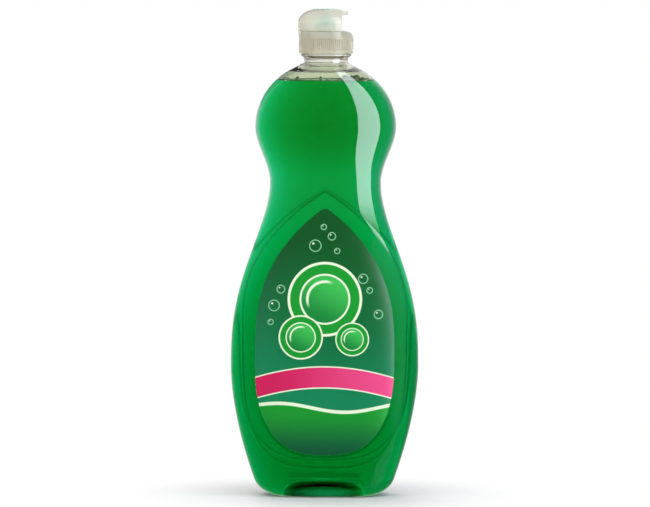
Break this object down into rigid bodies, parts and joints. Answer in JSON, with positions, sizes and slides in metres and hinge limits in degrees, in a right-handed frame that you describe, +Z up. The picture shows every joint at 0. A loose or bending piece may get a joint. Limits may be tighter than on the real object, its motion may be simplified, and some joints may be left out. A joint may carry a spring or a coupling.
{
  "type": "dish soap bottle",
  "caption": "Clear waisted bottle of green dish soap with a film label front and back, closed by a ribbed screw cap with a hinged flip-top lid.",
  "frame": {"origin": "centre of the bottle's footprint, on the ground it stands on", "axes": "+Z up the bottle; +X towards the lid's thumb lip, across the bottle's width; -Y towards the front label"},
  "size_m": [0.1062, 0.053, 0.2754],
  "materials": {
    "clear_bottle": "gloss",
    "green_soap": "gloss",
    "label_film": "satin",
    "clear_cap": "satin"
  },
  "bodies": {
    "bottle": {"bottle": "clear_bottle", "dish_soap": "green_soap", "front_label": "label_film", "back_label": "label_film"},
    "cap": {"cap_base": "clear_cap"},
    "lid": {"flip_lid": "clear_cap"}
  },
  "joints": [
    {"name": "cap_unscrew", "type": "hinge", "parent": "bottle", "child": "cap", "pos_m": [0, 0, 0.256], "axis": [0, 0, 1], "range_deg": [0, 450]},
    {"name": "lid_hinge", "type": "hinge", "parent": "cap", "child": "lid", "pos_m": [-0.01575, 0, 0.263], "axis": [0, -1, 0], "range_deg": [0, 120]}
  ]
}
